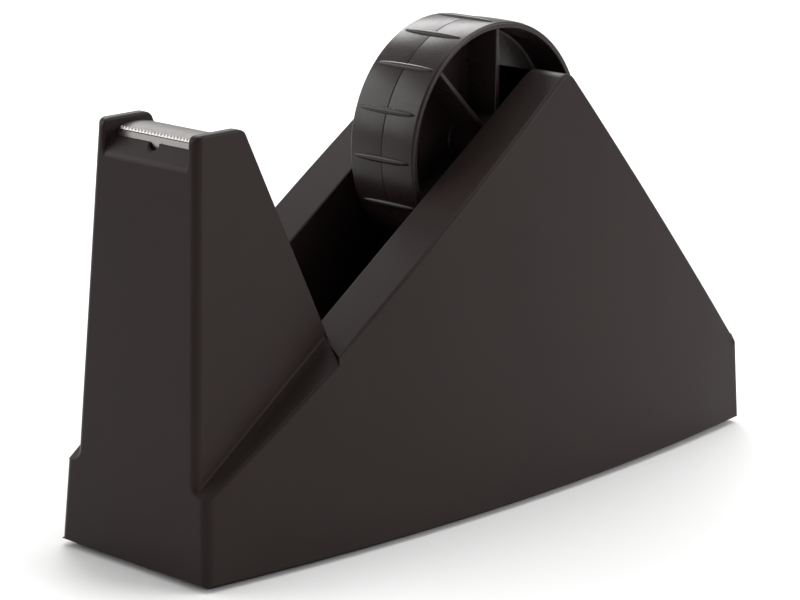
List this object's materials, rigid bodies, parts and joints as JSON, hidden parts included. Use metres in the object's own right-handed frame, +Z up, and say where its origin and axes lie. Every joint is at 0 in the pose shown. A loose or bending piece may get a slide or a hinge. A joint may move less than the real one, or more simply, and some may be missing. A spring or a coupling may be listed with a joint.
{
  "type": "desk tape dispenser",
  "caption": "Weighted wedge-shaped desk tape dispenser with a serrated blade on a front tower and a lift-out ribbed hub in an open roll well.",
  "frame": {"origin": "centre of the footprint, on the surface that the dispenser rests on", "axes": "+Z up; the blade end faces -Y and the back wall +Y; the hub's axle lies along X"},
  "size_m": [0.0808, 0.237, 0.1429],
  "materials": {
    "black_moulding": "fine satin texture",
    "black_cover": "matte",
    "zinc_steel": "zinc plated",
    "mat_rubber": "matte foam rubber",
    "ballast_iron": "as cast",
    "pale_landing": "smooth",
    "blade_steel": "fine ground",
    "axle_steel": "drawn",
    "hub_plastic": "glossy moulding"
  },
  "bodies": {
    "base": {"housing": "black_moulding", "base_cover": "black_cover", "base_screws": "zinc_steel", "anti_slip_mat": "mat_rubber", "front_ballast": "ballast_iron", "rear_ballast": "ballast_iron", "ballast_screws": "zinc_steel", "blade_holder": "pale_landing", "cutting_blade": "blade_steel"},
    "axle": {"axle": "axle_steel"},
    "wheel": {"hub_wheel": "hub_plastic"}
  },
  "joints": [
    {"name": "wheel_lift", "type": "slide", "parent": "base", "child": "axle", "axis": [0, 0.7071, 0.7071], "range_m": [0, 0.07]},
    {"name": "hub_spin", "type": "hinge", "parent": "axle", "child": "wheel", "pos_m": [0, 0.0199, 0.1047], "axis": [1, 0, 0], "continuous": true}
  ]
}
